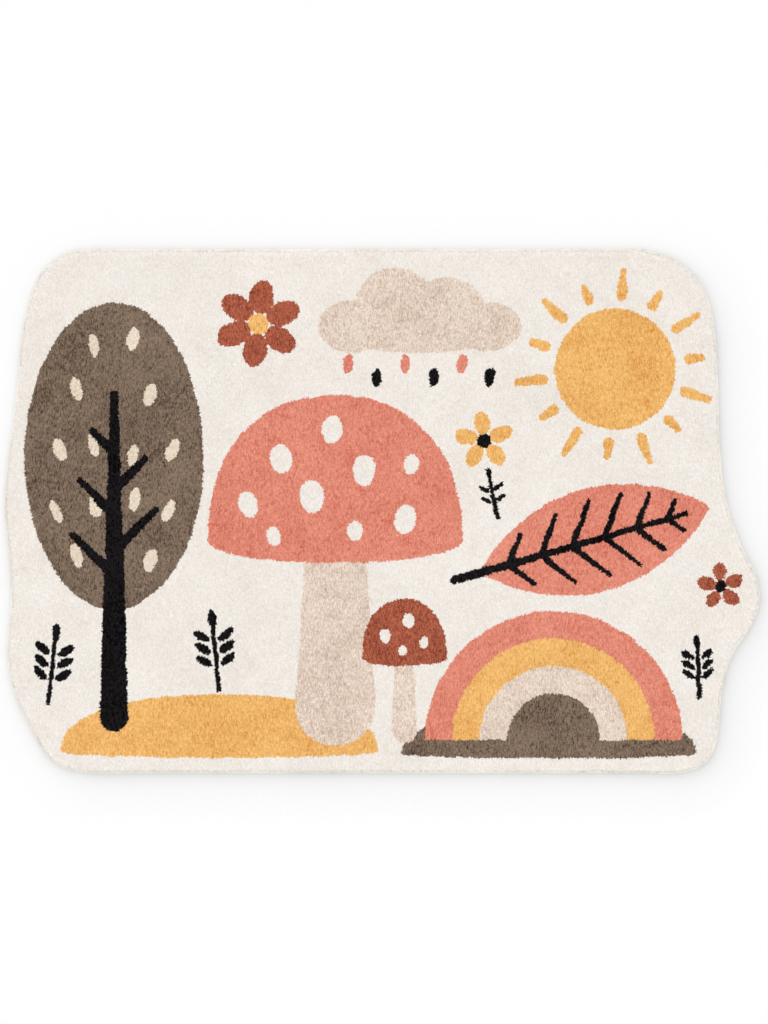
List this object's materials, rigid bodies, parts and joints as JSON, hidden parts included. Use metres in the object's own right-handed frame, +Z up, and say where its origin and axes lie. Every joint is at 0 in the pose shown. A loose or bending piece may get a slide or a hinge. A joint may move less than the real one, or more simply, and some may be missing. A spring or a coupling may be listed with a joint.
{
  "type": "kids rug",
  "caption": "Flat tufted cotton rug for a child's room, with rounded corners, softly waving sides, and short cut pile on a hemmed base cloth.",
  "frame": {"origin": "on the floor, under the middle of the rug's box", "axes": "+X along the rug's length, +Y towards the top of its design, +Z up from the floor"},
  "size_m": [1.6, 1.112, 0.0127],
  "materials": {
    "cream_pile": "short cut cotton pile, matt",
    "base_cloth": "plain woven cotton canvas, matt",
    "coral_pile": "short cut cotton pile, matt",
    "mustard_pile": "short cut cotton pile, matt",
    "rust_pile": "short cut cotton pile, matt",
    "taupe_pile": "short cut cotton pile, matt",
    "blush_pile": "short cut cotton pile, matt",
    "beige_pile": "short cut cotton pile, matt",
    "black_pile": "short cut cotton pile, matt"
  },
  "bodies": {
    "root": {"rug": "cream_pile"}
  },
  "joints": []
}
